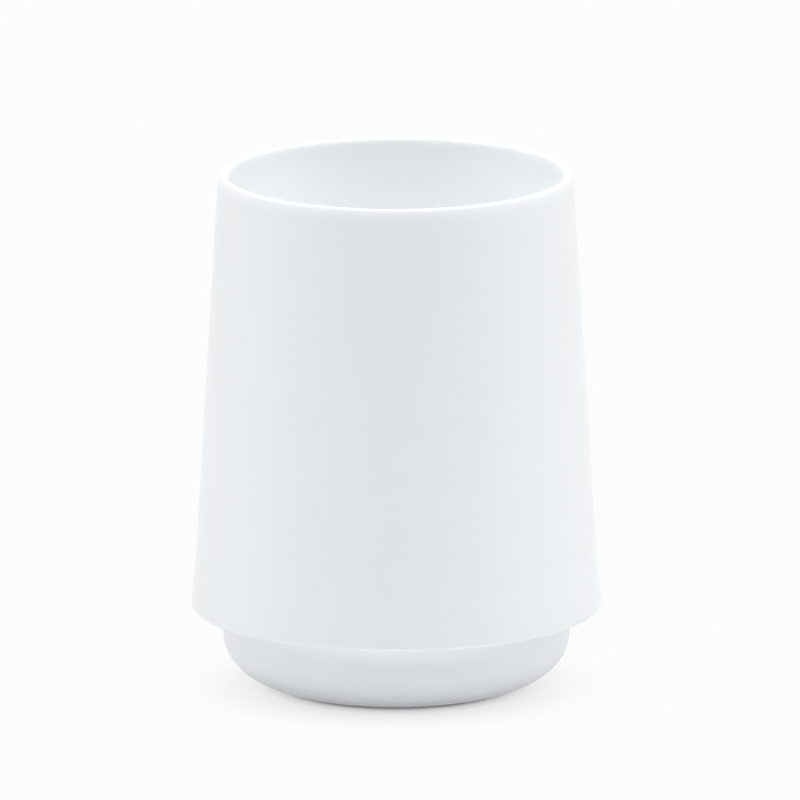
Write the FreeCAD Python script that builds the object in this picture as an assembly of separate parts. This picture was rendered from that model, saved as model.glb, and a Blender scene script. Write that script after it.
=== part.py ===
import FreeCAD, Part
import math
import os

# Bathroom tumbler, millimetres, +Z up, origin on the floor under its centre.
# A drafted inner cup hangs by its lip in a tapered outer sleeve. A bowl-shaped
# foot plugs the sleeve's wide lower end and carries the cup's floor, and a soft
# ring let into the foot's underside stands on the floor.

# Whole tumbler
overall_height = 105.0
step_height = 15.9
step_overhang = 6.4
bond_gap = 0.08
cut_overrun = 1.0

# Inner cup: rim, wall and floor
mouth_diameter = 67.0
rim_thickness = 2.1
rim_outer_round_across = 1.1
rim_outer_round_down = 3.0
rim_inner_round_across = 0.85
rim_inner_round_down = 1.7
lip_height = 4.4
cup_wall = 1.2
cup_floor = 1.6
cup_draft_angle = 1.5
cup_floor_round = 8.0

# Outer sleeve: wall, spread lower edge and the seat of the foot
sleeve_wall = 1.8
sleeve_spread = 0.35
sleeve_spread_begins = 12.0
sleeve_spread_ends = 3.0
sleeve_spread_bend = 2.0
sleeve_edge_round = 1.2
sleeve_bore_round = 0.25
seat_depth = 0.6

# Foot: bowl, flange and plug
foot_wall = 1.8
foot_floor = 2.4
foot_round_across = 14.2
foot_round_up = 10.2
foot_neck_round = 0.8
cup_clearance = 0.6
cup_rest_height = 1.4
flange_recess = 1.0
plug_height = 7.0
plug_wall = 1.6
plug_round = 0.4
underside_recess = 0.8
underside_recess_margin = 2.4
underside_recess_round = 0.5

# Soft ring under the foot
ring_width = 3.2
ring_proud = 0.4
ring_seat_depth = 1.0
ring_margin = 0.8
ring_fit_gap = 0.05
ring_edge_round = 0.3

# Heights, from the floor up
foot_under = ring_proud
foot_inside = foot_under + foot_floor
cup_under = foot_inside + cup_rest_height
cup_inside = cup_under + cup_floor
flange_under = step_height + flange_recess
flange_top = flange_under + foot_wall
plug_top = flange_under + plug_height
lip_under = overall_height - lip_height

# Slopes and radii that the pieces share
mouth_radius = mouth_diameter / 2
rim_radius = mouth_radius + rim_thickness
draft_slope = math.tan(math.radians(cup_draft_angle))


def cup_inner_radius(height):
    return mouth_radius - draft_slope * (overall_height - height)


def cup_outer_radius(height):
    return cup_inner_radius(height) + cup_wall


foot_inner_radius = cup_outer_radius(flange_top) + cup_clearance
foot_radius = foot_inner_radius + foot_wall
skirt_radius = foot_radius + step_overhang
side_slope = (skirt_radius - sleeve_spread - rim_radius) / (overall_height - step_height)


def side_radius(height):
    """Outside of the sleeve and of the lip above it, without the spread edge."""
    return rim_radius + side_slope * (overall_height - height)


def seat_radius(height):
    """Bore at the sleeve's lower end, where the plug of the foot sits."""
    return side_radius(height) - sleeve_wall + seat_depth


flat_radius = foot_radius - foot_round_across
ring_outer_radius = flat_radius - ring_margin
ring_inner_radius = ring_outer_radius - ring_width
recess_radius = ring_inner_radius - underside_recess_margin


def point(place):
    return FreeCAD.Vector(place[0], 0, place[1])


def rounded_corner(before, corner, after):
    """Curve that replaces a corner, given as (r, z, reach) or (r, z, reach in, reach out)."""
    here = point(corner)
    inward = (here - point(before)).normalize()
    outward = (point(after) - here).normalize()
    reach_in, reach_out = corner[2], corner[-1]
    start = here - inward * reach_in
    end = here + outward * reach_out
    turn = inward.getAngle(outward)
    if reach_in == reach_out:
        radius = reach_in / math.tan(turn / 2)
        towards = (outward - inward).normalize()
        middle = here + towards * (radius / math.cos(turn / 2) - radius)
        return start, end, Part.Arc(start, middle, end).toShape()
    handle_share = 4 / 3 * math.tan(turn / 4) / math.tan(turn / 2)
    curve = Part.BezierCurve()
    curve.setPoles([
        start,
        start + inward * reach_in * handle_share,
        end - outward * reach_out * handle_share,
        end,
    ])
    return start, end, curve.toShape()


def turned(corners):
    """Solid of revolution about Z from a closed outline of plain and rounded corners."""
    count = len(corners)
    pieces = []
    for index, corner in enumerate(corners):
        if len(corner) == 2:
            pieces.append((point(corner), point(corner), None))
        else:
            pieces.append(rounded_corner(corners[index - 1], corner, corners[(index + 1) % count]))
    edges = []
    for index, (start, end, curve) in enumerate(pieces):
        if curve:
            edges.append(curve)
        edges.append(Part.LineSegment(end, pieces[(index + 1) % count][0]).toShape())
    face = Part.Face(Part.Wire(edges))
    return face.revolve(FreeCAD.Vector(0, 0, 0), FreeCAD.Vector(0, 0, 1), 360)


def inner_cup():
    """Drafted cup with a rounded rim, whose lip rests on the sleeve's upper end."""
    return turned([
        (0, cup_under),
        (cup_outer_radius(cup_under), cup_under, cup_floor_round + cup_wall),
        (cup_outer_radius(lip_under), lip_under),
        (side_radius(lip_under), lip_under),
        (rim_radius, overall_height, rim_outer_round_down, rim_outer_round_across),
        (mouth_radius, overall_height, rim_inner_round_across, rim_inner_round_down),
        (cup_inner_radius(cup_inside), cup_inside, cup_floor_round),
        (0, cup_inside),
    ])


def outer_sleeve():
    """Tapered wall with a spread, rounded lower edge, bored out at the top to fit the cup."""
    spread_low = step_height + sleeve_spread_ends
    spread_high = step_height + sleeve_spread_begins
    wall = turned([
        (side_radius(lip_under), lip_under),
        (side_radius(lip_under) - sleeve_wall, lip_under),
        (side_radius(plug_top) - sleeve_wall, plug_top),
        (seat_radius(plug_top), plug_top),
        (seat_radius(step_height), step_height, sleeve_bore_round),
        (skirt_radius, step_height, sleeve_edge_round),
        (side_radius(spread_low) + sleeve_spread, spread_low, sleeve_spread_bend),
        (side_radius(spread_high), spread_high, sleeve_spread_bend),
    ])
    cup_envelope = turned([
        (0, plug_top),
        (cup_outer_radius(plug_top) + bond_gap, plug_top),
        (cup_outer_radius(lip_under + cut_overrun) + bond_gap, lip_under + cut_overrun),
        (0, lip_under + cut_overrun),
    ])
    return wall.cut(cup_envelope)


def foot_bowl():
    """Bowl with a flange and a plug that close the sleeve, and a ring that carries the cup."""
    groove_outer = ring_outer_radius + ring_fit_gap
    groove_inner = ring_inner_radius - ring_fit_gap
    groove_roof = foot_under + ring_seat_depth
    recess_roof = foot_under + underside_recess
    plug_foot = seat_radius(flange_under) - bond_gap
    plug_head = seat_radius(plug_top) - bond_gap
    return turned([
        (0, recess_roof),
        (recess_radius, recess_roof, underside_recess_round),
        (recess_radius + underside_recess, foot_under),
        (groove_inner, foot_under),
        (groove_inner, groove_roof),
        (groove_outer, groove_roof),
        (groove_outer, foot_under),
        (foot_radius, foot_under, foot_round_across, foot_round_up),
        (foot_radius, flange_under, foot_neck_round),
        (plug_foot, flange_under, plug_round),
        (plug_head, plug_top, plug_round),
        (plug_head - plug_wall, plug_top, plug_round),
        (seat_radius(flange_top) - bond_gap - plug_wall, flange_top),
        (foot_inner_radius, flange_top, plug_round),
        (foot_inner_radius, foot_inside, foot_round_up - foot_floor, foot_round_across - foot_wall),
        (ring_outer_radius, foot_inside),
        (ring_outer_radius, cup_under),
        (ring_inner_radius, cup_under),
        (ring_inner_radius, foot_inside),
        (0, foot_inside),
    ])


def non_slip_ring():
    """Soft ring in the groove under the foot, standing proud of it."""
    ring_top = foot_under + ring_seat_depth
    return turned([
        (ring_inner_radius, 0, ring_edge_round),
        (ring_outer_radius, 0, ring_edge_round),
        (ring_outer_radius, ring_top),
        (ring_inner_radius, ring_top),
    ])


os.makedirs("parts", exist_ok=True)
for make in (inner_cup, outer_sleeve, foot_bowl, non_slip_ring):
    solid = make()
    solid.exportStep("parts/" + make.__name__ + ".step")
    print(make.__name__, "valid", solid.isValid(), "solids", len(solid.Solids), "volume", round(solid.Volume, 1))
print("foot diameter", round(2 * foot_radius, 2), "skirt diameter", round(2 * skirt_radius, 2))
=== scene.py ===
# %% [markdown]
# # A bathroom tumbler, dressed on its CAD frame
# The real thing is a white tumbler for a washstand: a cup to rinse from, hung in a tapered sleeve, on a
# smaller bowl-shaped foot with a soft ring under it. The CAD model holds those four pieces at their real
# size, as plain triangles. This lesson turns each piece again as a clean mesh of four-sided faces, and gives
# it the finish of the real one. The frame is loaded first, because every place below is read from it.

# %% Load the frame
import math

import bmesh
import bpy
from mathutils import Euler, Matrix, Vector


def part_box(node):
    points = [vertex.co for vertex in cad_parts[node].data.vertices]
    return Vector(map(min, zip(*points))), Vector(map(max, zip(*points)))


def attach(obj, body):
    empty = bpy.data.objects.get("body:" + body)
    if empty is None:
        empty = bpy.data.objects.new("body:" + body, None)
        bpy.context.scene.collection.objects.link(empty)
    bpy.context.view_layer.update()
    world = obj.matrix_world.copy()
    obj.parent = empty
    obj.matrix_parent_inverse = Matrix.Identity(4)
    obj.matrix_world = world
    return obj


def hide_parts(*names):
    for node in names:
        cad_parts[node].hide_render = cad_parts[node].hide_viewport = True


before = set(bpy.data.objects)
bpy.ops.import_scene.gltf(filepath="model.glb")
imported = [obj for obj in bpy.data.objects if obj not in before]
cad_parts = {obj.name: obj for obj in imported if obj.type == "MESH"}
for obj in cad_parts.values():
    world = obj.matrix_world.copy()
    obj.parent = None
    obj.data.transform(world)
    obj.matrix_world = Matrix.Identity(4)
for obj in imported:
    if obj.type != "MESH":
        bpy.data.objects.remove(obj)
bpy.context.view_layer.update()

# %% [markdown]
# ## Heights from the frame, radii from a few sizes
# Every piece is round about one upright axis, so heights and radii say all there is to say about it. The
# frame's boxes give the heights at which one piece meets the next. A box can't show what lies inside it,
# so wall thicknesses and roundings are named here, in metres, and the radii follow from them.

# %% Heights and radii
cup_low, cup_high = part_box("inner_cup")
sleeve_low, sleeve_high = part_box("outer_sleeve")
foot_low, foot_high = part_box("foot_bowl")
ring_low, ring_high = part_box("non_slip_ring")

rim_top = cup_high.z
lip_under = sleeve_high.z
step_height = sleeve_low.z
plug_top = foot_high.z
ring_radius = ring_high.x

mouth_radius = 0.0335
rim_thickness = 0.0021
cup_wall = 0.0012
cup_draft_degrees = 1.5
cup_clearance = 0.0006
foot_wall = 0.0018
flange_recess = 0.001
step_overhang = 0.0064
sleeve_spread = 0.00035
bond_gap = 0.00008

rim_radius = mouth_radius + rim_thickness
cup_slope = math.tan(math.radians(cup_draft_degrees))
flange_under = step_height + flange_recess
flange_top = flange_under + foot_wall


def cup_inside(height):
    """Radius of the cup's inner wall, which narrows downwards so that the cup leaves its mould."""
    return mouth_radius - cup_slope * (rim_top - height)


def cup_outside(height):
    return cup_inside(height) + cup_wall


foot_inside = cup_outside(flange_top) + cup_clearance
foot_radius = foot_inside + foot_wall
skirt_radius = foot_radius + step_overhang
side_slope = (skirt_radius - sleeve_spread - rim_radius) / (rim_top - step_height)


def side(height):
    """Radius of the tumbler's straight tapered side."""
    return rim_radius + side_slope * (rim_top - height)


print("rim radius", round(rim_radius, 5), "foot radius", round(foot_radius, 5),
      "skirt radius", round(skirt_radius, 5))

# %% [markdown]
# ## Drawing an outline and turning it
# A moulded cup is a body of revolution, so half of its cross-section says it all. It could be subdivided
# from a cylinder, but then no rounding would be exact. Here the cross-section is a chain of edges between a
# few corners. A vertex bevel rounds a corner into an arc, and where an arc is longer one way than the other,
# the chain is stretched for the bevel and squeezed back. Long straight runs are then cut into short steps,
# so that the shading of a rounding doesn't bleed along a whole wall.

# %% Helpers for outlines
fewest_segments = 6
segment_length = 0.0008
step_length = 0.002
round_profile = 0.5


def round_corner(chain, corner, across, upward):
    """Rounds one corner of the chain, reaching that far along its level and its upright edge."""
    stretch = across / upward
    bmesh.ops.scale(chain, vec=(1, 1, stretch), verts=chain.verts[:])
    segments = fewest_segments + round(max(across, upward) / segment_length)
    bmesh.ops.bevel(chain, geom=[corner], offset=across, offset_type="OFFSET", segments=segments,
                    profile=round_profile, affect="VERTICES")
    bmesh.ops.scale(chain, vec=(1, 1, 1 / stretch), verts=chain.verts[:])


def outline(corners):
    """Chain of edges through the corners, closed unless it starts on the axis.

    A corner is (radius, height), (radius, height, reach) or (radius, height, across, upward).
    """
    chain = bmesh.new()
    verts = [chain.verts.new((corner[0], 0, corner[1])) for corner in corners]
    for start, end in zip(verts, verts[1:]):
        chain.edges.new((start, end))
    if corners[0][0] > 0:
        chain.edges.new((verts[-1], verts[0]))
    for vert, corner in zip(verts, corners):
        if len(corner) > 2:
            round_corner(chain, vert, corner[2], corner[-1])
    for edge in [edge for edge in chain.edges if edge.calc_length() > step_length]:
        bmesh.ops.subdivide_edges(chain, edges=[edge], cuts=int(edge.calc_length() / step_length))
    return chain


# %% [markdown]
# A full spin lays a copy of the chain at every step and joins the last one to the first. The points on the
# axis then lie on top of each other and are merged, and only after that are the normals made to point
# outwards. Edges sharper than a rounding ever shows stay sharp, and all else is shaded smooth.

# %% Helper that turns an outline into a finished piece
turn_steps = 240
merge_distance = 1e-7
sharp_angle = math.radians(35)


def turned(name, chain, finish, node):
    """Spins the chain about Z and lets the new piece stand for a CAD node."""
    bmesh.ops.spin(chain, geom=chain.verts[:] + chain.edges[:], axis=(0, 0, 1), cent=(0, 0, 0),
                   dvec=(0, 0, 0), angle=math.tau, steps=turn_steps, use_merge=True)
    bmesh.ops.remove_doubles(chain, verts=chain.verts[:], dist=merge_distance)
    bmesh.ops.recalc_face_normals(chain, faces=chain.faces[:])
    open_edges = sum(edge.is_boundary or edge.is_wire for edge in chain.edges)
    mesh = bpy.data.meshes.new(name)
    chain.to_mesh(mesh)
    chain.free()
    mesh.shade_smooth()
    mesh.set_sharp_from_angle(angle=sharp_angle)
    mesh.materials.append(finish)
    piece = bpy.data.objects.new(name, mesh)
    bpy.context.scene.collection.objects.link(piece)
    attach(piece, "root")
    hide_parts(node)
    print(name, len(mesh.polygons), "faces,", open_edges, "open edges")


# %% [markdown]
# ## Writing materials as formulas
# A shader tree is quicker to read as arithmetic than as boxes and noodles. This class wraps one output
# socket. Arithmetic with it adds Math nodes, and its method called node adds any other node from its type,
# its settings and its sockets.

# %% A socket with arithmetic
class Wire:
    """An output socket of a node tree, or the start of a tree."""

    def __init__(self, tree, socket=None):
        self.tree = tree
        self.socket = socket

    def node(self, kind, settings=None, sockets=None, out=0):
        """Adds a node and returns the wire of one of its outputs, if it has any."""
        made = self.tree.nodes.new(kind)
        for name, value in (settings or {}).items():
            setattr(made, name, value)
        for name, value in (sockets or {}).items():
            if isinstance(value, Wire):
                self.tree.links.new(value.socket, made.inputs[name])
            else:
                made.inputs[name].default_value = value
        return Wire(self.tree, made.outputs[out] if made.outputs else None)

    def maths(self, operation, left, right):
        return self.node("ShaderNodeMath", {"operation": operation}, {0: left, 1: right})

    def __add__(self, other):
        return self.maths("ADD", self, other)

    def __radd__(self, other):
        return self.maths("ADD", other, self)

    def __sub__(self, other):
        return self.maths("SUBTRACT", self, other)

    def __rsub__(self, other):
        return self.maths("SUBTRACT", other, self)

    def __mul__(self, other):
        return self.maths("MULTIPLY", self, other)

    def __rmul__(self, other):
        return self.maths("MULTIPLY", other, self)


print("shader arithmetic ready")

# %% [markdown]
# ## Matte white plastic
# The sleeve and the foot are moulded in a faintly cool white, in a mould whose steel was spark-eroded. That
# leaves an even grain of a few tenths of a millimetre, which scatters the light so well that no highlight
# shows. A photograph of such a surface would repeat and blur, so the grain is noise in the piece's own
# coordinates. It drives a shallow bump and a little of the roughness. A second, much wider noise shifts the
# tone by about a hundredth, as pigment does in a thick moulding. Where hands and cloths rub, near the rim
# and the lower edge, the grain is a little flattened and the surface a little smoother. The steel for the
# cup's inside was polished, so inside the mouth's radius the grain fades out.

# %% Finish of the white pieces
white = (0.951, 0.958, 0.962, 1)
white_shaded = (0.941, 0.95, 0.955, 1)
plastic_ior = 1.46
plastic_roughness = 0.62
grain_size = 0.00028
grain_detail = 2.0
grain_depth = 0.000006
grain_roughness = 0.2
cloud_size = 0.022
cloud_detail = 3.0
cloud_roughness = 0.1
noise_middle = 0.5
rubbed_band = 0.004
rubbed_edge_share = 0.5
rubbed_flatness = 0.6
rubbed_polish = 0.06
relief_strength = 1.0
level_only = (1, 1, 0)


def new_material(name):
    material = bpy.data.materials.new(name)
    material.use_nodes = True
    material.node_tree.nodes.clear()
    return material, Wire(material.node_tree)


def smooth_step(value, low, high):
    return value.node("ShaderNodeMapRange", {"interpolation_type": "SMOOTHSTEP"},
                      {"Value": value, "From Min": low, "From Max": high})


def noise(place, size, detail):
    return place.node("ShaderNodeTexNoise", {}, {"Vector": place, "Scale": 1 / size, "Detail": detail})


def bump(relief, depth):
    return relief.node("ShaderNodeBump", {},
                       {"Height": relief, "Strength": relief_strength, "Distance": depth})


def blend(share, first, second):
    return share.node("ShaderNodeMix", {"data_type": "RGBA"}, {"Factor": share, 6: first, 7: second}, out=2)


def matte_white(name, polished_within):
    """White plastic with a moulded grain, which fades out inside a radius."""
    material, start = new_material(name)
    place = start.node("ShaderNodeTexCoord", out="Object")
    height = place.node("ShaderNodeSeparateXYZ", {}, {"Vector": place}, out="Z")
    level = place.node("ShaderNodeVectorMath", {"operation": "MULTIPLY"}, {0: place, 1: level_only})
    radius = place.node("ShaderNodeVectorMath", {"operation": "LENGTH"}, {0: level}, out="Value")

    textured = smooth_step(radius, polished_within, polished_within + rim_thickness)
    near_rim = smooth_step(height, rim_top - rubbed_band, rim_top)
    near_edge = 1 - smooth_step(height, step_height, step_height + rubbed_band)
    rubbed = near_rim + near_edge * rubbed_edge_share
    grain = noise(place, grain_size, grain_detail)
    cloud = noise(place, cloud_size, cloud_detail)

    relief = grain * textured * (1 - rubbed * rubbed_flatness)
    from_grain = (grain - noise_middle) * textured * grain_roughness
    from_cloud = (cloud - noise_middle) * cloud_roughness
    roughness = plastic_roughness + from_grain - rubbed * rubbed_polish + from_cloud
    surface = start.node("ShaderNodeBsdfPrincipled", {},
                         {"Base Color": blend(cloud, white, white_shaded), "Roughness": roughness,
                          "Normal": bump(relief, grain_depth), "IOR": plastic_ior})
    start.node("ShaderNodeOutputMaterial", {}, {"Surface": surface})
    print(name, len(material.node_tree.nodes), "nodes")
    return material


sleeve_white = matte_white("sleeve_white", 0)
cup_white = matte_white("cup_white", mouth_radius)

# %% [markdown]
# ## Grey silicone
# The ring under the foot is soft silicone rubber, moulded in grey. Its surface is fine and dry, and dust
# clings to it in specks, which lighten it and make it rougher.

# %% Finish of the ring
rubber_grey = (0.33, 0.34, 0.35, 1)
rubber_dusty = (0.43, 0.435, 0.435, 1)
rubber_ior = 1.41
rubber_roughness = 0.66
rubber_grain_detail = 3.0
rubber_grain_depth = 0.00001
rubber_grain_roughness = 0.12
speck_size = 0.0006
speck_detail = 2.0
speck_begins = 0.56
speck_full = 0.72
dust_roughness = 0.1


def silicone(name):
    material, start = new_material(name)
    place = start.node("ShaderNodeTexCoord", out="Object")
    grain = noise(place, grain_size, rubber_grain_detail)
    dust = smooth_step(noise(place, speck_size, speck_detail), speck_begins, speck_full)
    roughness = rubber_roughness + grain * rubber_grain_roughness + dust * dust_roughness
    surface = start.node("ShaderNodeBsdfPrincipled", {},
                         {"Base Color": blend(dust, rubber_grey, rubber_dusty), "Roughness": roughness,
                          "Normal": bump(grain, rubber_grain_depth), "IOR": rubber_ior})
    start.node("ShaderNodeOutputMaterial", {}, {"Surface": surface})
    print(name, len(material.node_tree.nodes), "nodes")
    return material


ring_grey = silicone("ring_grey")

# %% [markdown]
# ## The inner cup
# The cup is the smooth inside that holds the water, and the rim that is drunk from. It hangs in the sleeve
# by its lip, whose outside carries on the sleeve's taper without a step. The rim is rounded further down
# outside than inside. Its wall leans a degree and a half, and its floor runs into the wall in a wide round.

# %% Turn the inner cup
cup_floor = 0.0016
cup_floor_round = 0.008
rim_outer_across = 0.0011
rim_outer_down = 0.003
rim_inner_across = 0.00085
rim_inner_down = 0.0017

cup_under = cup_low.z
cup_bottom = cup_under + cup_floor
turned("inner_cup_turned", outline([
    (0, cup_under),
    (cup_outside(cup_under), cup_under, cup_floor_round + cup_wall),
    (cup_outside(lip_under), lip_under),
    (side(lip_under), lip_under),
    (rim_radius, rim_top, rim_outer_across, rim_outer_down),
    (mouth_radius, rim_top, rim_inner_across, rim_inner_down),
    (cup_inside(cup_bottom), cup_bottom, cup_floor_round),
    (0, cup_bottom),
]), cup_white, "inner_cup")

# %% [markdown]
# ## The outer sleeve
# The sleeve is the wall that the hand holds. It widens in a straight line from the lip down, spreads a
# touch more just above its lower edge, and ends in a small round. Inside, it thins to fit round the cup at
# the top, and has a seat at the bottom that the foot plugs into.

# %% Turn the outer sleeve
sleeve_wall = 0.0018
seat_depth = 0.0006
spread_start = 0.012
spread_full = 0.003
spread_bend = 0.002
edge_round = 0.0012
bore_round = 0.00025


def seat(height):
    """Radius of the bore that the foot's plug sits in."""
    return side(height) - sleeve_wall + seat_depth


spread_begins = step_height + spread_start
spread_ends = step_height + spread_full
overlap = cup_outside(lip_under) + bond_gap - side(lip_under) + sleeve_wall
thinned_length = overlap / (cup_slope + side_slope)
thin_from = lip_under - thinned_length
turned("outer_sleeve_turned", outline([
    (side(lip_under), lip_under),
    (cup_outside(lip_under) + bond_gap, lip_under),
    (cup_outside(thin_from) + bond_gap, thin_from),
    (side(plug_top) - sleeve_wall, plug_top),
    (seat(plug_top), plug_top),
    (seat(step_height), step_height, bore_round),
    (skirt_radius, step_height, edge_round),
    (side(spread_ends) + sleeve_spread, spread_ends, spread_bend),
    (side(spread_begins), spread_begins, spread_bend),
]), sleeve_white, "outer_sleeve")

# %% [markdown]
# ## The foot
# The foot is a shallow bowl, set back under the sleeve's edge so that the tumbler seems to float. A flange
# and a plug above it close the sleeve, and a ring in its floor carries the cup. The sides curve in an
# ellipse towards the floor. From below it has a groove for the soft ring and a shallow dished middle.

# %% Turn the foot
foot_floor = 0.0024
foot_round_across = 0.0142
foot_round_up = 0.0102
neck_round = 0.0008
plug_wall = 0.0016
plug_round = 0.0004
ring_width = 0.0032
ring_fit_gap = 0.00005
dish_depth = 0.0008
dish_margin = 0.0024
dish_round = 0.0005

foot_under = foot_low.z
floor_inside = foot_under + foot_floor
groove_outer = ring_radius + ring_fit_gap
groove_inner = ring_radius - ring_width - ring_fit_gap
groove_roof = ring_high.z
dish_radius = ring_radius - ring_width - dish_margin
turned("foot_bowl_turned", outline([
    (0, foot_under + dish_depth),
    (dish_radius, foot_under + dish_depth, dish_round),
    (dish_radius + dish_depth, foot_under),
    (groove_inner, foot_under),
    (groove_inner, groove_roof),
    (groove_outer, groove_roof),
    (groove_outer, foot_under),
    (foot_radius, foot_under, foot_round_across, foot_round_up),
    (foot_radius, flange_under, neck_round),
    (seat(flange_under) - bond_gap, flange_under, plug_round),
    (seat(plug_top) - bond_gap, plug_top, plug_round),
    (seat(plug_top) - bond_gap - plug_wall, plug_top, plug_round),
    (seat(flange_top) - bond_gap - plug_wall, flange_top),
    (foot_inside, flange_top, plug_round),
    (foot_inside, floor_inside, foot_round_across - foot_wall, foot_round_up - foot_floor),
    (ring_radius, floor_inside),
    (ring_radius, cup_under),
    (ring_radius - ring_width, cup_under),
    (ring_radius - ring_width, floor_inside),
    (0, floor_inside),
]), sleeve_white, "foot_bowl")

# %% [markdown]
# ## The soft ring
# The ring sits in the foot's groove and stands a little proud of it, so the hard foot never touches the
# washstand. Two fine grooves run round its underside, which let it grip a wet surface.

# %% Turn the ring
ring_edge_round = 0.0003
grip_groove_width = 0.0003
grip_groove_depth = 0.00015
ring_inner = ring_radius - ring_width
ring_third = ring_width / 3

grooves = []
for place in (1, 2):
    middle = ring_inner + place * ring_third
    grooves += [
        (middle - grip_groove_width, ring_low.z),
        (middle, ring_low.z + grip_groove_depth),
        (middle + grip_groove_width, ring_low.z),
    ]
turned("non_slip_ring_turned", outline([
    (ring_inner, ring_low.z, ring_edge_round),
    *grooves,
    (ring_radius, ring_low.z, ring_edge_round),
    (ring_radius, ring_high.z),
    (ring_inner, ring_high.z),
]), ring_grey, "non_slip_ring")

# %% [markdown]
# ## The floor
# The tumbler stands on a plain white sheet. The floor is one disc. It is a diffuse white, so it throws
# light back at the foot, and the shadow under the foot falls on it. Away from the foot it turns to even
# white, but only where it is seen: by the camera, in a mirror or through glass. Scattered light finds plain
# paper with painted shade on it in the narrow gap under the foot's curve, and a mirror image of that gap
# stays dark as well.
# Under the foot the paper also glows a little, painted light that no lamp gives, which keeps the underside
# and the lowest part of the foot's curve from going black. That would wash out the thin dark line where the
# foot meets the floor, so the camera is shown a painted shadow, a darker tone, in the gap itself. Seen from
# below the floor isn't there, so the underside can be looked at.

# %% Build the floor
floor_radius = 1.5
floor_white = (0.93, 0.93, 0.93, 1)
shown_paper = (0.8, 0.82, 0.84, 1)
shown_white = (0.975, 0.975, 0.975, 1)
# Painted shadow: the dark tone the camera is shown in the gap where the foot meets the floor
shown_gap_painted_shadow = (0.17, 0.18, 0.19, 1)
# Painted shade: the paper gives back less light to scattered rays in the narrow gap under the foot
floor_gap_painted_shade = (0.65, 0.65, 0.65, 1)
# Painted light: strength of a glow from the paper under the foot, which no lamp gives
painted_glow_strength = 0.2
contact_share = 0.5
# Distances from the axis at which one tone begins to give way to the next, and at which it has
painted_shadow_zone = 0.022
painted_shadow_end = 0.0248
gap_painted_shade_zone = 0.024
gap_painted_shade_end = 0.044
painted_glow_zone = 0.024
painted_glow_end = 0.036
contact_zone = 0.0215
contact_end = 0.028
shadow_zone = 0.010
shadow_end = 0.050
mirrored_zone = 0.045
mirrored_end = 0.080


def ray_kinds(start):
    """1 for rays from the camera, and at least 1 for rays off a mirror or through glass."""
    camera, glossy, transmitted = [start.node("ShaderNodeLightPath", out=kind) for kind in
                                   ("Is Camera Ray", "Is Glossy Ray", "Is Transmission Ray")]
    return camera, glossy + transmitted


def clamped(value):
    return value.node("ShaderNodeClamp", {}, {"Value": value})


def floor_paper(name):
    """White sheet that keeps the shadow near the foot, partly as painted shade, and is clear from below."""
    material, start = new_material(name)
    camera, mirrored = ray_kinds(start)
    place = start.node("ShaderNodeTexCoord", out="Object")
    radius = place.node("ShaderNodeVectorMath", {"operation": "LENGTH"}, {0: place}, out="Value")
    # Painted shade: scattered light finds darker paper in the gap under the foot, plain white further out
    scattered_tone_with_painted_shade = blend(smooth_step(radius, gap_painted_shade_zone, gap_painted_shade_end), floor_gap_painted_shade, floor_white)
    # Painted shadow: the camera sees a darker paper tone in the gap under the foot's edge
    shown = blend(smooth_step(radius, painted_shadow_zone, painted_shadow_end), shown_gap_painted_shadow, shown_paper)
    sheet_top = start.node("ShaderNodeBsdfDiffuse", {}, {"Color": blend(camera, scattered_tone_with_painted_shade, shown)})
    scattered = 1 - clamped(camera + mirrored)
    # Painted light: the paper under the foot glows for scattered rays and lights the foot's underside
    painted_glow_mask = 1 - smooth_step(radius, painted_glow_zone, painted_glow_end)
    painted_glow = start.node("ShaderNodeEmission", {},
                            {"Color": shown_white, "Strength": scattered * painted_glow_mask * painted_glow_strength})
    paper = start.node("ShaderNodeAddShader", {}, {0: sheet_top, 1: painted_glow})
    even = start.node("ShaderNodeEmission", {}, {"Color": shown_white})
    past_contact = smooth_step(radius, contact_zone, contact_end) * contact_share
    past_shadow = smooth_step(radius, shadow_zone, shadow_end) * (1 - contact_share)
    past_mirrored = smooth_step(radius, mirrored_zone, mirrored_end)
    away = clamped((past_contact + past_shadow) * camera + past_mirrored * mirrored)
    above = start.node("ShaderNodeMixShader", {}, {0: away, 1: paper, 2: even})
    behind = start.node("ShaderNodeNewGeometry", out="Backfacing")
    clear = start.node("ShaderNodeBsdfTransparent")
    sheet = start.node("ShaderNodeMixShader", {}, {0: behind, 1: above, 2: clear})
    start.node("ShaderNodeOutputMaterial", {}, {"Surface": sheet})
    return material


disc = bmesh.new()
bmesh.ops.create_circle(disc, cap_ends=True, segments=turn_steps, radius=floor_radius)
bmesh.ops.recalc_face_normals(disc, faces=disc.faces[:])
floor_mesh = bpy.data.meshes.new("floor")
disc.to_mesh(floor_mesh)
disc.free()
floor_mesh.materials.append(floor_paper("floor_paper"))
floor = bpy.data.objects.new("floor", floor_mesh)
bpy.context.scene.collection.objects.link(floor)
print("floor normal", [round(part, 2) for part in floor_mesh.polygons[0].normal])

# %% [markdown]
# ## Light
# The picture was lit by large soft panels above, behind and at both sides, in white surroundings, with only
# weak light from the camera's own side, some from high up and some from low down. That leaves the front of
# the tumbler a shade below its flanks, and a little cooler. Inside the cup, light only arrives after many
# bounces from white to white, and four of them, as Blender starts out with, would leave it grey, so more
# are allowed. The world shows as white where it is seen.

# %% World and panels
panel_distance = 2.6
panel_size = 2.4
plain_light = (0.985, 0.994, 1)
front_light = (0.9, 0.965, 1)
# Azimuth and elevation in degrees, watts, and the light's tint
panels = {
    "panel_left": (270, 38, 29.2, plain_light),
    "panel_right": (90, 42, 33.0, plain_light),
    "panel_back": (180, 45, 25.0, plain_light),
    "panel_above": (0, 90, 34.5, plain_light),
    "panel_front_high": (0, 65, 12.2, front_light),
    "panel_front_low": (0, 6, 11.5, front_light),
}
most_bounces = 16


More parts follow.
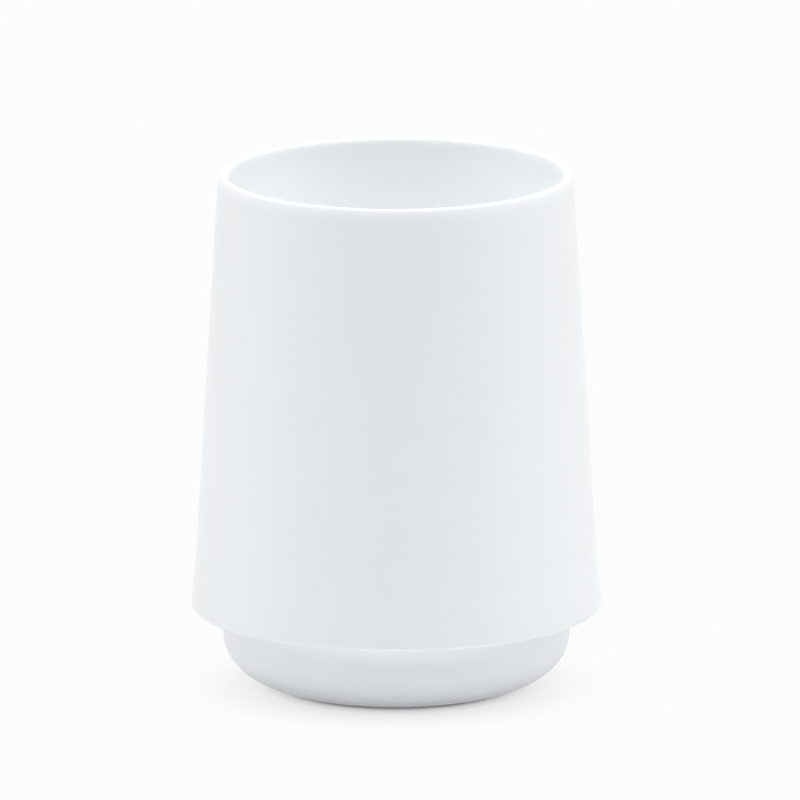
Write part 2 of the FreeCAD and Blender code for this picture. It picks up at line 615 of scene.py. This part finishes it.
def white_world():
    world = bpy.data.worlds.new("white_room")
    world.use_nodes = True
    world.node_tree.nodes.clear()
    start = Wire(world.node_tree)
    camera, mirrored = ray_kinds(start)
    backdrop = start.node("ShaderNodeBackground", {},
                          {"Color": shown_white, "Strength": clamped(camera + mirrored)})
    start.node("ShaderNodeOutputWorld", {}, {"Surface": backdrop})
    return world


def panel(name, azimuth, elevation, power, tint):
    """Square lamp that faces the tumbler, an azimuth of 0 being the camera's side and 90 its right."""
    lamp = bpy.data.lights.new(name, "AREA")
    lamp.shape = "SQUARE"
    lamp.size = panel_size
    lamp.energy = power
    lamp.color = tint
    panel_object = bpy.data.objects.new(name, lamp)
    turned_by, raised_by = math.radians(azimuth), math.radians(elevation)
    level = panel_distance * math.cos(raised_by)
    panel_object.location = (level * math.sin(turned_by), -level * math.cos(turned_by),
                             panel_distance * math.sin(raised_by))
    panel_object.rotation_euler = panel_object.location.to_track_quat("Z", "Y").to_euler()
    panel_object.visible_camera = False
    bpy.context.scene.collection.objects.link(panel_object)
    print(name, "at", [round(part, 2) for part in panel_object.location], power, "W")


bpy.context.scene.world = white_world()
bpy.context.scene.cycles.diffuse_bounces = most_bounces
bpy.context.scene.cycles.max_bounces = most_bounces
for name, setting in panels.items():
    panel(name, *setting)

# %% [markdown]
# ## Camera
# The camera looks down by a little over twelve degrees from far off through a long lens, which is why the
# tumbler's sides hardly converge. Its distance, height and lens were worked out from the rim's ellipse, the
# straight sides and the foot. Standard colour keeps the whites as they are written.

# %% Camera and colour
camera_distance = 5.0
camera_height = 1.175
camera_pitch = 0.21972
camera_yaw = 0.000158
camera_roll = -0.00217
focal_pixels = 25498.65
picture_pixels = 800
sensor_width = 36

camera_data = bpy.data.cameras.new("camera")
camera_data.sensor_width = sensor_width
camera_data.lens = focal_pixels * sensor_width / picture_pixels
camera_data.clip_end = 2 * camera_distance
camera = bpy.data.objects.new("camera", camera_data)
camera.location = (0, -camera_distance, camera_height)
aimed = Euler((math.pi / 2 - camera_pitch, 0, -camera_yaw)).to_matrix()
rolled = Euler((0, 0, camera_roll)).to_matrix()
camera.rotation_euler = (aimed @ rolled).to_euler()
bpy.context.scene.collection.objects.link(camera)
bpy.context.scene.camera = camera
bpy.context.scene.view_settings.view_transform = "Standard"
print("lens", round(camera_data.lens, 1), "mm")
